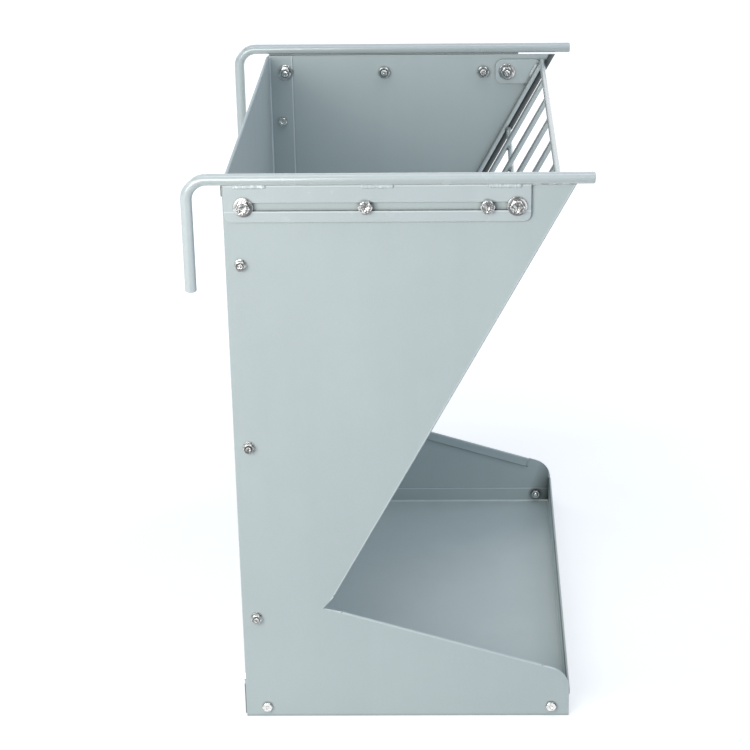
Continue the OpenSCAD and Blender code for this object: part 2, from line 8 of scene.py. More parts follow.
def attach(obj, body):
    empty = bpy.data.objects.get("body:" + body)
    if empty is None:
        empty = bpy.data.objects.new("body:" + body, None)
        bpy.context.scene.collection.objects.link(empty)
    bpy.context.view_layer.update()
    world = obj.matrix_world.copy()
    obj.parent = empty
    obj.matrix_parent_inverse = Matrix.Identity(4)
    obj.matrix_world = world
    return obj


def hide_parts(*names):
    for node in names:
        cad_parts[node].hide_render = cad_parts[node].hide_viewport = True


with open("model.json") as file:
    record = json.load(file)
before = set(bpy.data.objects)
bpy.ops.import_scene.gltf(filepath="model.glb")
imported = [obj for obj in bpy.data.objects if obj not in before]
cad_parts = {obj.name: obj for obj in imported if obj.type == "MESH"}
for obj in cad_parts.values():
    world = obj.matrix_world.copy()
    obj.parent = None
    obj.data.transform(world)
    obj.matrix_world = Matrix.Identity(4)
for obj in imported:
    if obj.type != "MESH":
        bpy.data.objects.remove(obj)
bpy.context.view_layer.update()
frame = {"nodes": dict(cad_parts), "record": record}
nodes = frame["nodes"]
MM = 0.001

# Driving sizes in millimetres, with the values of the part's source
BODY_WIDTH = 550.0
BODY_DEPTH = 355.0
HEIGHT = 610.0
SHEET = 1.5
THROAT_DEPTH = 92.5
THROAT_Z = 134.0
WING_FRONT_Z = 54.5
SLOPE_HEM = 6.5
WING_HEM = 12.0
HEM_GAP = 0.4
HEM_RELIEF = 17.0
BACK_FLANGE = 30.0
TRAY_FLANGE = 20.0
LIP_HEIGHT = 35.0
LIP_SETBACK = 1.0
FLANGE_END_GAP = 0.5
HOOK_ROD = 12.0
ROD_LIFT = 1.5
STRAP_THICKNESS = 3.0
STRAP_SETBACK = 1.5
STRAP_FRONT_MARGIN = 14.0
SLOT_WIDTH = 9.0
SLIDE_GAP = 0.2
HOOK_WELD_LENGTH = 34.0
HOOK_WELD_INSET = 9.0
STRAP_BOLT_DROP = 21.0
FIRST_BOLT = 21.0
PIVOT_BOLT = 59.5
PIVOT_GAP = 29.5
WASHER_T = 1.6
SMALL_WASHER_T = 1.2
FLANGE_BOLT_DEPTH = 15.5
FLANGE_BOLT_HEIGHT = 123.0
FLANGE_BOLT_DROP = 83.0
TRAY_BOLT_Z = 12.5
TRAY_BOLT_REAR = 23.0
TRAY_BOLT_FRONT = 19.5
UPSTAND_BOLT_Z = 28.0
UPSTAND_BOLT_INSET = 39.0
GRILLE_ROD = 6.5
BAR_INSET = 10.8
BAR_SPACES = 6
TOP_ROD_DROP = 15.0
CROSS_RODS = 4
CROSS_PITCH = 95.0
TAB_THICKNESS = 3.0
TAB_GAP = 0.2
GRILLE_WELD_LENGTH = 18.0
THREAD_GAP = 0.05
M8 = {"d": 8.0, "flats": 13.0, "head": 5.3, "nut": 6.5, "tail": 2.5, "pitch": 1.25,
      "thread": 5.0, "washer": 20.0, "hole": 8.8}
M6 = {"d": 6.0, "flats": 10.0, "head": 4.0, "nut": 5.0, "tail": 2.0, "pitch": 1.0,
      "thread": 4.0, "washer": 12.5, "hole": 6.6}

# Planes of the sheets
PANEL_OUT_X = BODY_WIDTH / 2
PANEL_IN_X = PANEL_OUT_X - SHEET
FLANGE_IN_X = PANEL_IN_X - SHEET
REAR_Y = BODY_DEPTH / 2
FRONT_Y = -BODY_DEPTH / 2
BACK_IN_Y = REAR_Y - SHEET
FLANGE_EDGE_Y = REAR_Y - BACK_FLANGE
THROAT_Y = REAR_Y - THROAT_DEPTH
SLOPE_ANGLE = math.atan2(THROAT_Y - FRONT_Y, HEIGHT - THROAT_Z)
WING_ANGLE = math.atan2(THROAT_Z - WING_FRONT_Z, THROAT_Y - FRONT_Y)
LIP_IN_Y = FRONT_Y + LIP_SETBACK + SHEET
LIP_OUT_Y = FRONT_Y + LIP_SETBACK - HEM_GAP - SHEET

# Straps and hooks
STRAP_OUT_X = PANEL_OUT_X + SLIDE_GAP + STRAP_THICKNESS
HEAD_X = STRAP_OUT_X + SLIDE_GAP
STRAP_TOP_Z = HEIGHT + ROD_LIFT
BOLT_Z = HEIGHT - STRAP_BOLT_DROP
PIVOT_Y = FRONT_Y + PIVOT_BOLT
FIRST_SLOT_Y = REAR_Y - FIRST_BOLT
LAST_SLOT_Y = PIVOT_Y + PIVOT_GAP
SLOT_BOLT_YS = (FIRST_SLOT_Y, (FIRST_SLOT_Y + LAST_SLOT_Y) / 2, LAST_SLOT_Y)
STRAP_REAR_Y = REAR_Y - STRAP_SETBACK
STRAP_FRONT_Y = PIVOT_Y - STRAP_FRONT_MARGIN
HOOK_WELD_YS = (STRAP_REAR_Y - HOOK_WELD_INSET - HOOK_WELD_LENGTH,
                (STRAP_REAR_Y + STRAP_FRONT_Y - HOOK_WELD_LENGTH) / 2,
                STRAP_FRONT_Y + HOOK_WELD_INSET)

# Small bolts
FLANGE_BOLT_Y = REAR_Y - FLANGE_BOLT_DEPTH
FLANGE_BOLT_TOP = HEIGHT - FLANGE_BOLT_DROP
FLANGE_BOLT_ZS = (FLANGE_BOLT_HEIGHT, (FLANGE_BOLT_HEIGHT + FLANGE_BOLT_TOP) / 2, FLANGE_BOLT_TOP)
TRAY_BOLT_YS = (REAR_Y - TRAY_BOLT_REAR, FRONT_Y + TRAY_BOLT_FRONT)
UPSTAND_BOLT_XS = [i * (PANEL_OUT_X - UPSTAND_BOLT_INSET) for i in (-1, 0, 1)]

# Grille tabs, and the inner faces that the nuts of the strap bolts sit on
TAB_OUT_X = PANEL_IN_X - TAB_GAP
TAB_IN_X = TAB_OUT_X - TAB_THICKNESS
PIVOT_WASHER_X = TAB_IN_X - TAB_GAP
PIVOT_NUT_X = PIVOT_WASHER_X - WASHER_T
SLOT_NUT_X = PANEL_IN_X
FLANGE_NUT_X = FLANGE_IN_X - WASHER_T

# Colours, linear
PAINT = (0.522, 0.582, 0.568)
ROD_PAINT = (0.575, 0.632, 0.620)
WELD_PAINT = (0.60, 0.66, 0.655)
# Colour of the painted highlight on sheet edges and bends
PAINTED_EDGE_LIGHT = (0.86, 0.90, 0.90)
# Colour of the painted highlight lines along bends and edges
PAINTED_HIGHLIGHT = (0.88, 0.92, 0.92)
# Colour of the painted glints on the weld beads
GLINT_WHITE = (0.97, 0.98, 0.98)
BOLT_ZINC = (0.88, 0.885, 0.88)
PRESSED_ZINC = (0.80, 0.81, 0.81)
AMBIENT_TINT = (0.78, 0.955, 1.18)


# Materials

def empty_material(name):
    mat = bpy.data.materials.new(name)
    mat.use_nodes = True
    tree = mat.node_tree
    tree.nodes.clear()
    return mat, tree, tree.nodes.new("ShaderNodeOutputMaterial")


def new_material(name):
    mat, tree, out = empty_material(name)
    bsdf = tree.nodes.new("ShaderNodeBsdfPrincipled")
    tree.links.new(bsdf.outputs["BSDF"], out.inputs["Surface"])
    return mat, tree, bsdf


def noise(tree, vector, scale, detail=2.0, rough=0.5):
    n = tree.nodes.new("ShaderNodeTexNoise")
    n.inputs["Scale"].default_value = scale
    n.inputs["Detail"].default_value = detail
    n.inputs["Roughness"].default_value = rough
    tree.links.new(vector, n.inputs["Vector"])
    return n.outputs["Fac"]


def stretched(tree, vector, scale):
    m = tree.nodes.new("ShaderNodeMapping")
    m.inputs["Scale"].default_value = scale
    tree.links.new(vector, m.inputs["Vector"])
    return m.outputs["Vector"]


def map_range(tree, value, low, high, from_low=0.3, from_high=0.7):
    m = tree.nodes.new("ShaderNodeMapRange")
    m.inputs["From Min"].default_value = from_low
    m.inputs["From Max"].default_value = from_high
    m.inputs["To Min"].default_value = low
    m.inputs["To Max"].default_value = high
    tree.links.new(value, m.inputs["Value"])
    return m.outputs["Result"]


def mix_color(tree, fac, a, b):
    m = tree.nodes.new("ShaderNodeMix")
    m.data_type = "RGBA"
    for socket, value in ((m.inputs[0], fac), (m.inputs[6], a), (m.inputs[7], b)):
        if isinstance(value, bpy.types.NodeSocket):
            tree.links.new(value, socket)
        else:
            socket.default_value = value
    return m.outputs[2]


def bump(tree, height, distance, normal):
    b = tree.nodes.new("ShaderNodeBump")
    b.inputs["Strength"].default_value = 1.0
    b.inputs["Distance"].default_value = distance
    tree.links.new(height, b.inputs["Height"])
    tree.links.new(normal, b.inputs["Normal"])
    return b.outputs["Normal"]


def math_node(tree, operation, a, b, c=None):
    n = tree.nodes.new("ShaderNodeMath")
    n.operation = operation
    for i, value in enumerate((a, b) if c is None else (a, b, c)):
        if isinstance(value, bpy.types.NodeSocket):
            tree.links.new(value, n.inputs[i])
        else:
            n.inputs[i].default_value = value
    return n.outputs[0]


def object_coords(tree):
    return tree.nodes.new("ShaderNodeTexCoord").outputs["Object"]


def split_xyz(tree, vector):
    n = tree.nodes.new("ShaderNodeSeparateXYZ")
    tree.links.new(vector, n.inputs[0])
    return n.outputs["X"], n.outputs["Y"], n.outputs["Z"]


# Two masks: what the camera sees, directly or through glass, and what shows in reflections
def ray_masks(tree):
    path = tree.nodes.new("ShaderNodeLightPath").outputs
    seen = math_node(tree, "MAXIMUM", path["Is Camera Ray"], path["Is Transmission Ray"])
    return seen, path["Is Glossy Ray"]


def rounded_edges(tree, radius):
    n = tree.nodes.new("ShaderNodeBevel")
    n.samples = 4
    n.inputs["Radius"].default_value = radius
    return n.outputs["Normal"]


# 1 on open faces, falling towards 0 in corners and narrow gaps
def openness(tree, distance):
    n = tree.nodes.new("ShaderNodeAmbientOcclusion")
    n.samples = 6
    n.inputs["Distance"].default_value = distance
    return n.outputs["AO"]


# How far the rounded normal has turned from the face's own: 0 on flat faces, more along edges
def turn_of(tree, rounded):
    dot = tree.nodes.new("ShaderNodeVectorMath")
    dot.operation = "DOT_PRODUCT"
    tree.links.new(rounded, dot.inputs[0])
    tree.links.new(tree.nodes.new("ShaderNodeNewGeometry").outputs["Normal"], dot.inputs[1])
    return math_node(tree, "SUBTRACT", 1.0, dot.outputs["Value"])


def rgba(c, k=1.0):
    return (c[0] * k, c[1] * k, c[2] * k, 1.0)


# Depths and radii of the surface detail, in metres
PEEL_DEPTH = 0.00003
GRAIN_DEPTH = 0.00003
COAT_EDGE = 0.0011
ZINC_EDGE = 0.0002
COAT_CREVICE = 0.006
ZINC_CREVICE = 0.0022


# Powder coat: faint clouding, fine speckle, orange peel and a slightly uneven gloss
def powder_coat(name, color, rough, waviness, painted_shade_and_light=True):
    mat, tree, bsdf = new_material(name)
    pos = object_coords(tree)
    cloud = map_range(tree, noise(tree, pos, 5.0, 4.0, 0.6), 0.0, 1.0)
    tint = mix_color(tree, cloud, rgba(color, 0.965), rgba(color, 1.03))
    speck = map_range(tree, noise(tree, pos, 900.0, 3.0, 0.7), 0.0, 1.0, 0.42, 0.60)
    tint = mix_color(tree, speck, tint, mix_color(tree, 0.5, tint, rgba(color, 1.06)))
    streak = noise(tree, stretched(tree, pos, (26.0, 26.0, 3.0)), 1.0, 3.0, 0.55)
    tint = mix_color(tree, map_range(tree, streak, 0.0, 0.35, 0.45, 0.75), tint, rgba(color, 0.95))
    edge = rounded_edges(tree, COAT_EDGE)
    if painted_shade_and_light:
        # Painted shade darkens narrow gaps and corners, and a painted highlight lightens sheet edges and
        # bends
        crevice_shade = map_range(tree, openness(tree, COAT_CREVICE), 1.0, 0.0, 0.22, 0.72)
        tint = mix_color(tree, crevice_shade, tint, rgba(color, 0.10))
        edge_light = map_range(tree, turn_of(tree, edge), 0.0, 0.9, 0.01, 0.12)
        tint = mix_color(tree, edge_light, tint, rgba(PAINTED_EDGE_LIGHT))
    tree.links.new(tint, bsdf.inputs["Base Color"])
    gloss = noise(tree, pos, 40.0, 4.0, 0.6)
    tree.links.new(map_range(tree, gloss, rough - 0.04, rough + 0.05), bsdf.inputs["Roughness"])
    wave = bump(tree, noise(tree, pos, 9.0, 1.0, 0.4), waviness, edge)
    peel = bump(tree, noise(tree, pos, 520.0, 2.0, 0.5), PEEL_DEPTH, wave)
    tree.links.new(peel, bsdf.inputs["Normal"])
    bsdf.inputs["Specular IOR Level"].default_value = 0.5
    return mat


# Bright zinc plate: patchy passivation, fine grain, and dents from forging and from the spanner
def zinc_plate(name, color, rough, dent_depth):
    mat, tree, bsdf = new_material(name)
    pos = object_coords(tree)
    bsdf.inputs["Metallic"].default_value = 1.0
    patch = map_range(tree, noise(tree, pos, 230.0, 3.0, 0.6), 0.0, 1.0)
    tint = mix_color(tree, patch, rgba(color, 0.86), rgba(color, 1.08))
    stain = map_range(tree, noise(tree, pos, 520.0, 3.0, 0.65), 0.0, 0.45, 0.50, 0.64)
    tint = mix_color(tree, stain, tint, rgba(color, 0.30))
    # Painted shade on the faces that look down
    facing = tree.nodes.new("ShaderNodeNewGeometry").outputs["True Normal"]
    under = map_range(tree, split_xyz(tree, facing)[2], 0.80, 0.0, -0.7, -0.2)
    tint = mix_color(tree, under, tint, rgba(color, 0.10))
    # Painted shade in the narrow gaps between head, washer and nut
    gap = map_range(tree, openness(tree, ZINC_CREVICE), 1.0, 0.0, 0.35, 0.90)
    tint = mix_color(tree, gap, tint, rgba(color, 0.05))
    tree.links.new(tint, bsdf.inputs["Base Color"])
    tree.links.new(map_range(tree, noise(tree, pos, 420.0, 3.0, 0.6), rough - 0.06, rough + 0.12),
                   bsdf.inputs["Roughness"])
    edge = rounded_edges(tree, ZINC_EDGE)
    dents = bump(tree, noise(tree, pos, 330.0, 1.0, 0.5), dent_depth, edge)
    grain = bump(tree, noise(tree, pos, 1500.0, 2.0, 0.5), GRAIN_DEPTH, dents)
    tree.links.new(grain, bsdf.inputs["Normal"])
    return mat


# Position in millimetres, with X taken without its sign because both sides are alike
def place_mm(tree):
    scaled = tree.nodes.new("ShaderNodeVectorMath")
    scaled.operation = "SCALE"
    scaled.inputs["Scale"].default_value = 1 / MM
    tree.links.new(object_coords(tree), scaled.inputs[0])
    x, y, z = split_xyz(tree, scaled.outputs[0])
    return math_node(tree, "ABSOLUTE", x, 0.0), y, z


# 1 where every value lies between its two limits
def between(tree, *limits):
    mask = 1.0
    for value, low, high in limits:
        off = math_node(tree, "ABSOLUTE", math_node(tree, "SUBTRACT", value, (low + high) / 2), 0.0)
        mask = math_node(tree, "MULTIPLY", mask, math_node(tree, "LESS_THAN", off, (high - low) / 2))
    return mask


# A value and its limits a little to each side of an edge
def near(value, edge, below=0.1, above=0.1):
    return value, edge - below, edge + above


# Distance from a line in the Y and Z plane, through a point and square to the direction (ky, kz)
def off_line(tree, y, z, at_y, at_z, ky, kz):
    return math_node(tree, "MULTIPLY_ADD", math_node(tree, "SUBTRACT", y, at_y), ky,
                     math_node(tree, "MULTIPLY", math_node(tree, "SUBTRACT", z, at_z), kz))


# Distance from a point in the plane of two coordinates
def radius_of(tree, a, b, at_a, at_b):
    da = math_node(tree, "SUBTRACT", a, at_a)
    db = math_node(tree, "SUBTRACT", b, at_b)
    squares = math_node(tree, "MULTIPLY_ADD", da, da, math_node(tree, "MULTIPLY", db, db))
    return math_node(tree, "SQRT", squares, 0.0)


# Lays marks over a material's base colour, each with a mask, a strength and a colour
def repaint(mat, marks):
    tree = mat.node_tree
    bsdf = next(n for n in tree.nodes if n.type == "BSDF_PRINCIPLED")
    tint = bsdf.inputs["Base Color"].links[0].from_socket
    for mask, level, color in marks:
        tint = mix_color(tree, math_node(tree, "MULTIPLY", mask, level), tint, color)
    tree.links.new(tint, bsdf.inputs["Base Color"])


# Marks of the sheet parts: painted highlight lines along bends and cut edges, and painted shade in
# corners, along hems and folds, on the upstand's end and round the tray bolts
def mark_panels(mat, color):
    tree = mat.node_tree
    x, y, z = place_mm(tree)
    highlight = rgba(PAINTED_HIGHLIGHT)
    painted_shade_tone = rgba(color, 0.06)
    slope_in = off_line(tree, y, z, FRONT_Y, HEIGHT, math.cos(SLOPE_ANGLE), math.sin(SLOPE_ANGLE))
    wing_in = off_line(tree, y, z, THROAT_Y, THROAT_Z, math.sin(WING_ANGLE), -math.cos(WING_ANGLE))
    # Painted shade on the lip's folded top and in the front corner by the wing
    lip_fold = map_range(tree, y, 0.0, 0.80, LIP_OUT_Y + 0.6, LIP_IN_Y - 0.3)
    corner = math_node(tree, "MULTIPLY_ADD", z, 0.35, radius_of(tree, x, y, PANEL_IN_X, LIP_IN_Y))
    corner = map_range(tree, corner, 0.92, 0.0, 3.0, 32.0)
    # Painted shade along the sloping hem's inner strip, darker away from the edge
    hem_shade = map_range(tree, slope_in, 0.68, 0.94, 0.0, 5.5)

    above_bend = SHEET + 1.7
    above_tray = (z, TRAY_FLANGE + 5, HEIGHT)
    upstand_face = (y, REAR_Y + 0.05, REAR_Y + 3)
    rear_bend = near(x, FLANGE_IN_X, 1.8), near(y, BACK_IN_Y, 1.8), above_tray
    back_flange_edge = near(x, FLANGE_IN_X, 0.1, SHEET), near(y, FLANGE_EDGE_Y, 0.2, 1.3), above_tray
    pan_bend = near(x, FLANGE_IN_X, 2.0), (y, LIP_IN_Y, REAR_Y), near(z, SHEET, 0.1, 1.9)
    pan_flange_edge = (near(x, FLANGE_IN_X, 0.1, SHEET + 0.1), near(z, TRAY_FLANGE, 1.0, 0.2),
                       (y, LIP_IN_Y, FLANGE_EDGE_Y - FLANGE_END_GAP))
    slope_edge = near(x, PANEL_OUT_X), (slope_in, -0.5, 2.0), (z, THROAT_Z, HEIGHT)
    wing_edge = near(x, PANEL_OUT_X), (wing_in, -0.5, 1.6), (y, FRONT_Y, THROAT_Y)
    slope_hem = (near(x, PANEL_IN_X, 13.5, -0.1), (slope_in, -0.8, SLOPE_HEM + 0.7),
                 (z, THROAT_Z + 6, HEIGHT))
    lip_top = (x, 0.0, PANEL_IN_X - 0.1), (y, LIP_OUT_Y - 1, LIP_IN_Y + 0.1), near(z, LIP_HEIGHT, 2.4, 1.0)
    front_corner = (near(x, PANEL_IN_X, 33.5), near(y, LIP_IN_Y, 0.1, 32.0),
                    (z, above_bend, WING_FRONT_Z + 3.5))
    wing_hem_edge = (near(x, PANEL_IN_X, 2.5), near(wing_in, WING_HEM, 0.5, 0.6),
                     (y, FRONT_Y + 29.5, THROAT_Y - HEM_RELIEF))
    upstand_end = near(x, PANEL_IN_X), upstand_face
    upstand_line = near(x, PANEL_IN_X - 3.0), upstand_face

    marks = [
        # Painted highlight lines along bends and edges
        (between(tree, *rear_bend), 0.60, highlight),
        (between(tree, *back_flange_edge), 0.60, highlight),
        (between(tree, *pan_bend), 0.55, highlight),
        (between(tree, *pan_flange_edge), 0.50, highlight),
        (between(tree, *slope_edge), 0.55, highlight),
        (between(tree, *wing_edge), 0.40, highlight),
        (between(tree, *slope_hem), hem_shade, painted_shade_tone),
        (between(tree, *lip_top), lip_fold, painted_shade_tone),
        (between(tree, *front_corner), corner, painted_shade_tone),
        # Painted shadow lines at the wing hem's edge and on the upstand's end
        (between(tree, *wing_hem_edge), 0.75, painted_shade_tone),
        (between(tree, *upstand_end), 0.55, painted_shade_tone),
        (between(tree, *upstand_line), 0.55, painted_shade_tone),
    ]
    # Painted shadow rings round the nuts of the tray's side bolts
    for bolt_y in TRAY_BOLT_YS:
        ring = map_range(tree, radius_of(tree, y, z, bolt_y, TRAY_BOLT_Z), 0.75, 0.0, 5.5, 10.5)
        marks.append((between(tree, near(x, FLANGE_IN_X), (z, above_bend, TRAY_FLANGE)), ring, painted_shade_tone))
    repaint(mat, marks)


# Marks of the straps and rods: bare dark metal on the slot's lower wall, painted highlight lines along the
# strap's edges, and painted shade on the sides of the grille bars that face inward
def mark_straps(mat, color):
    tree = mat.node_tree
    x, y, z = place_mm(tree)
    low = BOLT_Z - SLOT_WIDTH / 2
    highlight = rgba(PAINTED_HIGHLIGHT)
    facing = tree.nodes.new("ShaderNodeTexCoord").outputs["Normal"]
    # Painted shade on the sides of the grille bars that face inward
    inward_shade = map_range(tree, split_xyz(tree, facing)[1], 0.0, 0.85, 0.10, 0.65)
    outer_face = (x, STRAP_OUT_X - 0.2, STRAP_OUT_X + 0.1)
    grille_space = (x, 0, TAB_IN_X + 0.1), (y, FRONT_Y, FLANGE_EDGE_Y), (z, THROAT_Z, HEIGHT - 2)
    above_strap = (z, STRAP_TOP_Z, STRAP_TOP_Z + HOOK_ROD + 1)
    slot_floor = (x, PANEL_OUT_X, STRAP_OUT_X - 0.05), near(z, low, 0.2, 0.2)
    repaint(mat, [
        (between(tree, *grille_space), inward_shade, rgba(color, 0.18)),
        (between(tree, above_strap), 0.09, rgba(color, 0.10)),
        (between(tree, *slot_floor), 0.80, rgba(color, 0.10)),
        # Painted highlight lines along the strap's edges
        (between(tree, outer_face, (z, low - 1.5, low)), 0.45, highlight),
        (between(tree, outer_face, (z, STRAP_TOP_Z - 1.6, STRAP_TOP_Z)), 0.45, highlight),
    ])


# Marks of the weld beads: painted glints, strongest on the rear runs and fainter on all other beads
def mark_welds(mat):
    tree = mat.node_tree
    grain = noise(tree, object_coords(tree), 380.0, 2.0, 0.6)
    glint = map_range(tree, grain, 0.0, 0.9, 0.52, 0.62)
    middle_run_end = HOOK_WELD_YS[1] + HOOK_WELD_LENGTH
    level = map_range(tree, place_mm(tree)[1], 0.22, 1.0, middle_run_end, HOOK_WELD_YS[0])
    repaint(mat, [(glint, level, rgba(GLINT_WHITE))])


panel_paint = powder_coat("panel_paint_coat", PAINT, 0.40, 0.0004)
mark_panels(panel_paint, PAINT)
rod_paint = powder_coat("rod_paint_coat", ROD_PAINT, 0.24, 0.0001)
mark_straps(rod_paint, ROD_PAINT)
rod_shader = next(n for n in rod_paint.node_tree.nodes if n.type == "BSDF_PRINCIPLED")
rod_shader.inputs["Coat Weight"].default_value = 1.0
rod_shader.inputs["Coat Roughness"].default_value = 0.10
# Weld beads take a lighter copy of the rod paint, a painted lightening that stands in for their highlights
weld_paint = powder_coat("weld_paint_coat", WELD_PAINT, 0.22, 0.0001, painted_shade_and_light=False)
mark_welds(weld_paint)
zinc = zinc_plate("zinc_plate", BOLT_ZINC, 0.13, 0.0008)
zinc_pressed = zinc_plate("zinc_plate_pressed", PRESSED_ZINC, 0.15, 0.00015)

SLOT_MATERIALS = {"panel_paint": panel_paint, "rod_paint": rod_paint, "zinc": zinc}

for entry in frame["record"]["subparts"]:
    obj = nodes[entry["node"]]
    mat = SLOT_MATERIALS[entry["material_slot"]]
    if not obj.material_slots:
        obj.data.materials.append(mat)
    for s in obj.material_slots:
        s.material = mat


# Mesh helpers

# Closed solid from rings of points: the end rings are closed with a centre point, or joined in a loop
def loft(bm, rings, closed_loop=False):
    made = [[bm.verts.new(p) for p in ring] for ring in rings]
    pairs = list(zip(made, made[1:]))
    if closed_loop:
        pairs.append((made[-1], made[0]))
    for a, b in pairs:
        n = len(a)
        for i in range(n):
            j = (i + 1) % n
            bm.faces.new((a[i], a[j], b[j], b[i]))
    if not closed_loop:
        for ring in (made[0], made[-1]):
            centre = bm.verts.new(sum((v.co for v in ring), Vector()) / len(ring))
            n = len(ring)
            for i in range(n):
                j = (i + 1) % n
                pair = (ring[j], ring[i]) if ring is made[0] else (ring[i], ring[j])
                bm.faces.new((centre, *pair))


SEGMENTS = 60
CREASE = math.radians(28)
WELD_CREASE = math.radians(60)


def hex_radius(angle, flats):
    step = math.radians(60)
    return flats / 2 / math.cos((angle + step / 2) % step - step / 2)


# Ring of (radius, angle, height) points, where radius and height may be functions of the angle
def circle_ring(radius, z):
    return [(radius(a) if callable(radius) else radius, a, z(a) if callable(z) else z)
            for a in (2 * math.pi * i / SEGMENTS for i in range(SEGMENTS))]


# Width of a hexagon's round end face as a share of its width across flats, and slope of the chamfer
HEX_FACE = 0.96
HEX_CHAMFER = math.radians(30)


# End of a hexagon: the end face is round, and its corners fall away
def hex_rings(flats, z_seat, z_face):
    face_r = flats / 2 * HEX_FACE
    sign = 1 if z_face > z_seat else -1

    def fall(a):
        return z_face - sign * (hex_radius(a, flats) - face_r) * math.tan(HEX_CHAMFER)
    return circle_ring(face_r, z_face), circle_ring(lambda a: hex_radius(a, flats), fall)


# Local frame of a fastener: +z points out of the head, x is the direction of one corner
def place(rings, origin, axis, corner):
    z = Vector(axis).normalized()
    x = Vector(corner).normalized()
    y = z.cross(x)
    out = []
    for ring in rings:
        out.append([(Vector(origin) + x * (r * math.cos(a + math.pi / 6))
                     + y * (r * math.sin(a + math.pi / 6)) + z * h) * MM for r, a, h in ring])
    return out


# Thread: depth as a share of the pitch, steps along one pitch, and how much thinner the tip starts
THREAD_DEPTH = 0.55
THREAD_STEPS = 6
THREAD_TIP = 0.9


def thread_rings(spec, z_from, z_to):
    r_major = spec["d"] / 2
    depth = THREAD_DEPTH * spec["pitch"]
    steps = max(2, int(abs(z_to - z_from) / (spec["pitch"] / THREAD_STEPS)))
    rings = []
    for i in range(steps + 1):
        z = z_from + (z_to - z_from) * i / steps
        tip = abs(z - z_to)

        def radius(a, z=z, tip=tip):
            phase = (z / spec["pitch"] + a / (2 * math.pi)) % 1.0
            groove = depth * (1 - abs(2 * phase - 1))
            return min(r_major - groove, r_major - THREAD_TIP + tip)
        rings.append(circle_ring(radius, z))
    return rings


# Radius and depth of the rings that form the dimple in a bolt head
HEAD_DIMPLE = ((0.5, 0.9), (1.5, 0.75), (2.2, 0.12), (2.9, 0.0))
# Ring just inside the edge of a head's end face, which keeps the shading of the face flat
FACE_RIM = 0.97
# Rounding under a bolt head, and chamfer at a nut's bore
HEX_EDGE = 0.25
BORE_CHAMFER = 0.45


# Hexagon bolt: seat at height 0, head above, shank down to -length, the last part threaded
def bolt_mesh(bm, spec, origin, axis, corner, length):
    head = spec["head"]
    face, fall = hex_rings(spec["flats"], 0.0, head)
    r = spec["d"] / 2
    thread_end = -length + spec["thread"]
    rings = [circle_ring(radius, head - below) for radius, below in HEAD_DIMPLE]
    rings.append([(q * FACE_RIM, a, h) for q, a, h in face])
    rings.append(face)
    rings.append(fall)
    rings.append(circle_ring(lambda a: hex_radius(a, spec["flats"]), HEX_EDGE))
    rings.append(circle_ring(lambda a: hex_radius(a, spec["flats"]) - HEX_EDGE, 0.0))
    rings.append(circle_ring(r, 0.0))
    rings.append(circle_ring(r, thread_end + 0.2))
    rings += thread_rings(spec, thread_end, -length)
    loft(bm, place(rings, origin, axis, corner))


def nut_mesh(bm, spec, origin, axis, corner):
    height = spec["nut"]
    bore = spec["d"] / 2 + THREAD_GAP
    top_face, top_fall = hex_rings(spec["flats"], 0.0, height)
    low_face, low_fall = hex_rings(spec["flats"], height, 0.0)
    rings = [
        circle_ring(bore, BORE_CHAMFER),
        circle_ring(bore, height - BORE_CHAMFER),
        circle_ring(bore + BORE_CHAMFER, height),
        top_face, top_fall, low_fall, low_face,
        circle_ring(bore + BORE_CHAMFER, 0.0),
    ]
    loft(bm, place(rings, origin, axis, corner), closed_loop=True)


# Pressed washer, slightly domed towards its rim
def washer_mesh(bm, spec, thickness, origin, axis):
    outer, bore, edge, dome = spec["washer"], spec["hole"], 0.2, 0.3
    rings = [
        circle_ring(bore / 2, 0.0),
        circle_ring(bore / 2, thickness - edge),
        circle_ring(bore / 2 + edge, thickness),
        circle_ring(outer * 0.36, thickness),
        circle_ring(outer * 0.43, thickness - 0.1),
        circle_ring(outer / 2 - edge, thickness - dome),
        circle_ring(outer / 2, thickness - dome - edge),
        circle_ring(outer / 2, edge / 2),
        circle_ring(outer / 2 - edge / 2, 0.0),
    ]
    loft(bm, place(rings, origin, axis, Y_CORNER), closed_loop=True)


def finish_mesh(name, bm, mat, crease=CREASE):
    bmesh.ops.recalc_face_normals(bm, faces=bm.faces)
    for f in bm.faces:
        f.smooth = True
    for e in bm.edges:
        e.smooth = len(e.link_faces) == 2 and e.calc_face_angle(0.0) < crease
    mesh = bpy.data.meshes.new(name)
    bm.to_mesh(mesh)
    bm.free()
    obj = bpy.data.objects.new(name, mesh)
    bpy.context.scene.collection.objects.link(obj)
    mesh.materials.append(mat)
    return obj


def fasteners(node, build, mat=zinc):
    bm = bmesh.new()
    build(bm)
    obj = finish_mesh(node + "_detail", bm, mat)
    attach(obj, "root")
    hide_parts(node)


SIDES = (-1, 1)
Y_CORNER = (0, 1, 0)


def m8_bolts(bm, seats):
    for s in SIDES:
        for y, seat, nut_x in seats:
            length = seat - (nut_x - M8["nut"] - M8["tail"])
            bolt_mesh(bm, M8, (s * seat, y, BOLT_Z), (s, 0, 0), Y_CORNER, length)


def m8_nuts(bm, seats):
    for s in SIDES:
        for y, nut_x in seats:
            nut_mesh(bm, M8, (s * nut_x, y, BOLT_Z), (-s, 0, 0), Y_CORNER)


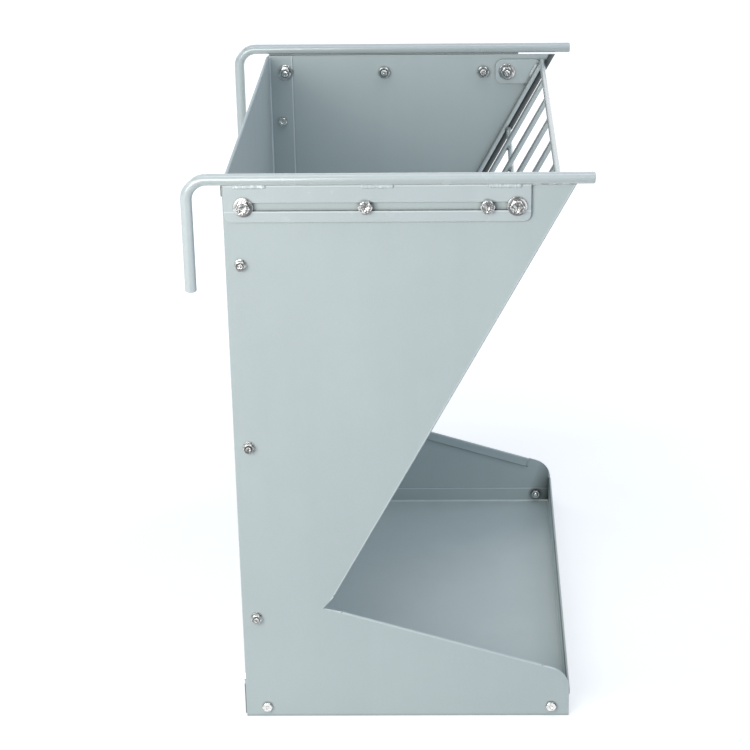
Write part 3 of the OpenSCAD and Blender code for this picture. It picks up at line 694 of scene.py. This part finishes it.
fasteners("slot_bolts", lambda bm: m8_bolts(bm, [
    (SLOT_BOLT_YS[0], HEAD_X + WASHER_T, FLANGE_NUT_X),
    (SLOT_BOLT_YS[1], HEAD_X, SLOT_NUT_X),
    (SLOT_BOLT_YS[2], HEAD_X, SLOT_NUT_X)]))
fasteners("pivot_bolts", lambda bm: m8_bolts(bm, [(PIVOT_Y, HEAD_X + WASHER_T, PIVOT_NUT_X)]))
fasteners("slot_nuts", lambda bm: m8_nuts(bm, [
    (SLOT_BOLT_YS[0], FLANGE_NUT_X), (SLOT_BOLT_YS[1], SLOT_NUT_X), (SLOT_BOLT_YS[2], SLOT_NUT_X)]),
    zinc_pressed)
fasteners("pivot_nuts", lambda bm: m8_nuts(bm, [(PIVOT_Y, PIVOT_NUT_X)]), zinc_pressed)


def outer_washers(bm):
    for s in SIDES:
        for y in (SLOT_BOLT_YS[0], PIVOT_Y):
            washer_mesh(bm, M8, WASHER_T, (s * HEAD_X, y, BOLT_Z), (s, 0, 0))


def inner_washers(bm):
    for s in SIDES:
        for y, x in ((SLOT_BOLT_YS[0], FLANGE_IN_X), (PIVOT_Y, PIVOT_WASHER_X)):
            washer_mesh(bm, M8, WASHER_T, (s * x, y, BOLT_Z), (-s, 0, 0))


def flange_bolts(bm):
    seat = FLANGE_IN_X
    length = PANEL_OUT_X + SMALL_WASHER_T + M6["nut"] + M6["tail"] - seat
    for s in SIDES:
        for z in FLANGE_BOLT_ZS:
            bolt_mesh(bm, M6, (s * seat, FLANGE_BOLT_Y, z), (-s, 0, 0), Y_CORNER, length)


def flange_washers(bm):
    for s in SIDES:
        for z in FLANGE_BOLT_ZS:
            washer_mesh(bm, M6, SMALL_WASHER_T, (s * PANEL_OUT_X, FLANGE_BOLT_Y, z), (s, 0, 0))


def flange_nuts(bm):
    seat = PANEL_OUT_X + SMALL_WASHER_T
    for s in SIDES:
        for z in FLANGE_BOLT_ZS:
            nut_mesh(bm, M6, (s * seat, FLANGE_BOLT_Y, z), (s, 0, 0), Y_CORNER)


def tray_side_bolts(bm):
    length = PANEL_OUT_X - (FLANGE_IN_X - M6["nut"] - M6["tail"])
    for s in SIDES:
        for y in TRAY_BOLT_YS:
            bolt_mesh(bm, M6, (s * PANEL_OUT_X, y, TRAY_BOLT_Z), (s, 0, 0), Y_CORNER, length)


def tray_side_nuts(bm):
    for s in SIDES:
        for y in TRAY_BOLT_YS:
            nut_mesh(bm, M6, (s * FLANGE_IN_X, y, TRAY_BOLT_Z), (-s, 0, 0), Y_CORNER)


def tray_rear_bolts(bm):
    seat = REAR_Y + SHEET
    length = seat - (REAR_Y - SHEET - M6["nut"] - M6["tail"])
    for x in UPSTAND_BOLT_XS:
        bolt_mesh(bm, M6, (x, seat, UPSTAND_BOLT_Z), (0, 1, 0), (1, 0, 0), length)


def tray_rear_nuts(bm):
    for x in UPSTAND_BOLT_XS:
        nut_mesh(bm, M6, (x, REAR_Y - SHEET, UPSTAND_BOLT_Z), (0, -1, 0), (1, 0, 0))


fasteners("outer_washers", outer_washers, zinc_pressed)
fasteners("inner_washers", inner_washers, zinc_pressed)
fasteners("back_flange_bolts", flange_bolts)
fasteners("back_flange_washers", flange_washers, zinc_pressed)
fasteners("back_flange_nuts", flange_nuts, zinc_pressed)
fasteners("tray_side_bolts", tray_side_bolts)
fasteners("tray_side_nuts", tray_side_nuts, zinc_pressed)
fasteners("tray_rear_bolts", tray_rear_bolts)
fasteners("tray_rear_nuts", tray_rear_nuts, zinc_pressed)


# Welds

BEAD_STEP = 0.45
BEAD_SIDES = 16


# Rippled weld bead along a straight line: a closed tube that tapers at its ends
def bead(bm, start, end, side, up, wide, high, ripple=2.6):
    start = Vector(start)
    axis = Vector(end) - start
    length = axis.length
    axis.normalize()
    side = Vector(side).normalized()
    up = Vector(up).normalized()
    steps = max(12, int(length / BEAD_STEP))
    rings = []
    for i in range(steps + 1):
        t = i / steps
        d = length * t
        end_gap = min(d, length - d)
        taper = math.sqrt(max(0.03, min(1.0, end_gap / (1.2 * wide))))
        phase = (d / ripple) % 1.0
        swell = (1.0 + 0.20 * (1 - abs(2 * phase - 1)) + 0.10 * math.sin(d * 1.7 + start.y)
                 + 0.07 * math.sin(d * 0.61))
        wander = 0.22 * math.sin(d * 0.9 + start.x) + 0.12 * math.sin(d * 2.3)
        centre = start + axis * d + up * wander * 0.5 + side * wander * 0.3
        ring = []
        for k in range(BEAD_SIDES):
            a = 2 * math.pi * k / BEAD_SIDES
            ring.append((centre + side * (math.cos(a) * wide * taper * swell)
                         + up * (math.sin(a) * high * taper * swell)) * MM)
        rings.append(ring)
    loft(bm, rings)


def hook_welds(side_name, s):
    bm = bmesh.new()
    x, z = s * (STRAP_OUT_X + 0.1), STRAP_TOP_Z - 0.9
    for y in HOOK_WELD_YS:
        bead(bm, (x, y, z), (x, y + HOOK_WELD_LENGTH, z), (s, 0, 0.6), (-0.6 * s, 0, 1), 1.4, 2.0)
    obj = finish_mesh(side_name + "_hook_weld_beads", bm, weld_paint, WELD_CREASE)
    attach(obj, side_name + "_hook")
    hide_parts(side_name + "_hook_welds")


hook_welds("left", -1)
hook_welds("right", 1)


def on_slope(x, inset, down):
    c, k = math.cos(SLOPE_ANGLE), math.sin(SLOPE_ANGLE)
    return Vector((x, FRONT_Y + down * k + inset * c, HEIGHT - down * c + inset * k))


SLOPE_IN = on_slope(0, 1, 0) - on_slope(0, 0, 0)
SLOPE_DOWN = on_slope(0, 0, 1) - on_slope(0, 0, 0)
SIDE_BAR_X = TAB_IN_X - GRILLE_ROD / 2
BAR_XS = [-SIDE_BAR_X + 2 * SIDE_BAR_X * i / BAR_SPACES for i in range(BAR_SPACES + 1)]


def tab_welds():
    bm = bmesh.new()
    middle = (STRAP_BOLT_DROP + BAR_INSET * math.sin(SLOPE_ANGLE)) / math.cos(SLOPE_ANGLE)
    inset, half = BAR_INSET + 3.3, GRILLE_WELD_LENGTH / 2
    for s in SIDES:
        x = s * (TAB_IN_X - 1.0)
        bead(bm, on_slope(x, inset, middle - half), on_slope(x, inset, middle + half),
             (s, 0, 0), SLOPE_IN, 2.1, 2.0, 3.1)
    obj = finish_mesh("grille_tab_beads", bm, weld_paint, WELD_CREASE)
    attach(obj, "grille")
    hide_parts("grille_welds")


tab_welds()


# Small flash lump where two grille rods are pressed and welded together
def lump(bm, centre, axis_a, axis_b, axis_c, ra, rb, rc):
    rows, cols = 6, 12
    rings = []
    for i in range(1, rows):
        lat = math.pi * i / rows
        ring = []
        for k in range(cols):
            lon = 2 * math.pi * k / cols
            ring.append((centre + axis_a * (ra * math.sin(lat) * math.cos(lon))
                         + axis_b * (rb * math.sin(lat) * math.sin(lon))
                         + axis_c * (rc * math.cos(lat))) * MM)
        rings.append(ring)
    loft(bm, rings)


def crossing_welds():
    bm = bmesh.new()
    across = Vector((1, 0, 0))
    for i, x in enumerate(BAR_XS):
        for r in range(1, CROSS_RODS + 1):
            down = TOP_ROD_DROP + r * CROSS_PITCH
            grow = 1.0 + 0.12 * math.sin(7.3 * i + 3.1 * r)
            lump(bm, on_slope(x, BAR_INSET - GRILLE_ROD / 2, down), across, SLOPE_DOWN, SLOPE_IN,
                 2.5 * grow, 2.4 * grow, 1.1)
        if abs(x) < SIDE_BAR_X - 1:
            lump(bm, on_slope(x, BAR_INSET, TOP_ROD_DROP + 2.6), across, SLOPE_IN, SLOPE_DOWN,
                 3.5, 3.4, 1.3)
    obj = finish_mesh("grille_crossing_welds", bm, rod_paint, WELD_CREASE)
    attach(obj, "grille")


crossing_welds()


# Stage

FLOOR_GREY = (0.62, 0.62, 0.62)
FLOOR_GREY_GLOSSY = (0.14, 0.14, 0.14)
FLOOR_GLOW_NEAR = 0.57
FLOOR_GLOW_FAR = 0.80
FLOOR_GLOSSY = 1.0
FLOOR_HALF = 9.0
AMBIENT = 0.46


# Pale floor that reads white to the camera and keeps the shadow
def floor_material():
    mat, tree, out = empty_material("studio_floor")
    diffuse = tree.nodes.new("ShaderNodeBsdfDiffuse")
    glow = tree.nodes.new("ShaderNodeEmission")
    seen, glossy = ray_masks(tree)
    x, y, _ = split_xyz(tree, object_coords(tree))
    # The glow is lower beside the trough, so that its shadow there doesn't clip to white
    away = radius_of(tree, x, y, 0.0, 0.0)
    glow_at = map_range(tree, away, FLOOR_GLOW_NEAR, FLOOR_GLOW_FAR, 0.40, 1.20)
    level = math_node(tree, "MULTIPLY", seen, glow_at)
    # In reflections the floor is dark on a patch at the camera's side of the trough, bright elsewhere
    close = map_range(tree, x, 0.10, FLOOR_GLOSSY, -0.55, -0.42)
    aside = map_range(tree, math_node(tree, "ABSOLUTE", y, 0.0), 0.0, FLOOR_GLOSSY, 0.32, 0.55)
    mirrored = math_node(tree, "MAXIMUM", close, aside)
    grey = mix_color(tree, glossy, rgba(FLOOR_GREY), rgba(FLOOR_GREY_GLOSSY))
    tree.links.new(grey, diffuse.inputs["Color"])
    strength = math_node(tree, "MULTIPLY_ADD", glossy, mirrored, level)
    tree.links.new(strength, glow.inputs["Strength"])
    add = tree.nodes.new("ShaderNodeAddShader")
    tree.links.new(diffuse.outputs[0], add.inputs[0])
    tree.links.new(glow.outputs[0], add.inputs[1])
    tree.links.new(add.outputs[0], out.inputs["Surface"])
    return mat


bm = bmesh.new()
bmesh.ops.create_grid(bm, x_segments=2, y_segments=2, size=FLOOR_HALF)
floor = finish_mesh("studio_floor", bm, floor_material())

# Brightness of the surroundings in reflections, by height above the horizon
WORLD_BANDS = ((0.0, 0.10), (0.08, 0.02), (0.28, 0.05), (0.34, 1.5),
               (0.60, 1.7), (0.66, 0.06), (0.80, 0.10), (0.86, 1.2))


# Surroundings: white to the camera, a cool low ambient, and bright and dark bands in reflections
def studio_world():
    world = bpy.data.worlds.new("studio")
    world.use_nodes = True
    tree = world.node_tree
    tree.nodes.clear()
    out = tree.nodes.new("ShaderNodeOutputWorld")
    back = tree.nodes.new("ShaderNodeBackground")
    seen, glossy = ray_masks(tree)
    x, _, z = split_xyz(tree, tree.nodes.new("ShaderNodeTexCoord").outputs["Generated"])
    ramp = tree.nodes.new("ShaderNodeValToRGB")
    ramp.color_ramp.interpolation = "LINEAR"
    while len(ramp.color_ramp.elements) < len(WORLD_BANDS):
        ramp.color_ramp.elements.new(0.5)
    for element, (height, value) in zip(ramp.color_ramp.elements, WORLD_BANDS):
        element.position = height
        element.color = (value, value, value, 1)
    tree.links.new(z, ramp.inputs["Fac"])
    behind = map_range(tree, x, 0.0, 1.1, 0.2, 0.6)
    mirrored = math_node(tree, "MAXIMUM", ramp.outputs["Color"], behind)
    bright = math_node(tree, "MAXIMUM", seen, math_node(tree, "MULTIPLY", glossy, mirrored))
    plain = math_node(tree, "MAXIMUM", seen, glossy)
    ambient = math_node(tree, "MULTIPLY", math_node(tree, "SUBTRACT", 1.0, plain), AMBIENT)
    tint = mix_color(tree, plain, rgba(AMBIENT_TINT), rgba((1, 1, 1)))
    tree.links.new(tint, back.inputs["Color"])
    tree.links.new(math_node(tree, "ADD", bright, ambient), back.inputs["Strength"])
    tree.links.new(back.outputs[0], out.inputs["Surface"])
    return world


bpy.context.scene.world = studio_world()


def area_light(name, location, target, size, power, color=(1, 1, 1)):
    data = bpy.data.lights.new(name, "AREA")
    data.shape = "RECTANGLE"
    data.size, data.size_y = size
    data.energy = power
    data.color = color
    obj = bpy.data.objects.new(name, data)
    obj.location = location
    obj.rotation_euler = (Vector(target) - Vector(location)).to_track_quat("-Z", "Y").to_euler()
    bpy.context.scene.collection.objects.link(obj)


area_light("key", (-1.60, 0.73, 0.96), (0, 0, 0.61), (1.15, 0.85), 18.0, (1.03, 0.995, 0.94))
area_light("top", (-0.6, 0, 3.0), (0, 0, 0.2), (2.8, 0.32), 11)
area_light("fill", (0.6, -2.2, 2.0), (0, -0.1, 0.2), (1.4, 1.4), 8)
area_light("rear", (2.4, 2.4, 1.5), (0, 0, 0.3), (1.6, 1.6), 16)

# Camera at the photograph's viewpoint: place in metres, angles in radians, lens and centre in pixels
CAMERA_AT = (-2.3171, -0.0666, 1.2349)
YAW, PITCH, ROLL = 0.015, 0.386, -0.010
FOCAL_PX, CENTRE_X, CENTRE_Y, FRAME_PX = 2133.9, 437.0, 375.8, 750.0
SENSOR = 36.0
forward = Vector((math.cos(PITCH) * math.cos(YAW), math.cos(PITCH) * math.sin(YAW), -math.sin(PITCH)))
right = Vector((math.sin(YAW), -math.cos(YAW), 0))
up = right.cross(forward)
cam_x = right * math.cos(ROLL) + up * math.sin(ROLL)
cam_y = -right * math.sin(ROLL) + up * math.cos(ROLL)
cam_data = bpy.data.cameras.new("camera")
cam_data.sensor_width = SENSOR
cam_data.lens = FOCAL_PX * SENSOR / FRAME_PX
cam_data.shift_x = (FRAME_PX / 2 - CENTRE_X) / FRAME_PX
cam_data.shift_y = (CENTRE_Y - FRAME_PX / 2) / FRAME_PX
camera = bpy.data.objects.new("camera", cam_data)
camera.matrix_world = Matrix((
    (cam_x.x, cam_y.x, -forward.x, CAMERA_AT[0]),
    (cam_x.y, cam_y.y, -forward.y, CAMERA_AT[1]),
    (cam_x.z, cam_y.z, -forward.z, CAMERA_AT[2]),
    (0, 0, 0, 1)))
bpy.context.scene.collection.objects.link(camera)
bpy.context.scene.camera = camera

bpy.context.scene.view_settings.view_transform = "Standard"
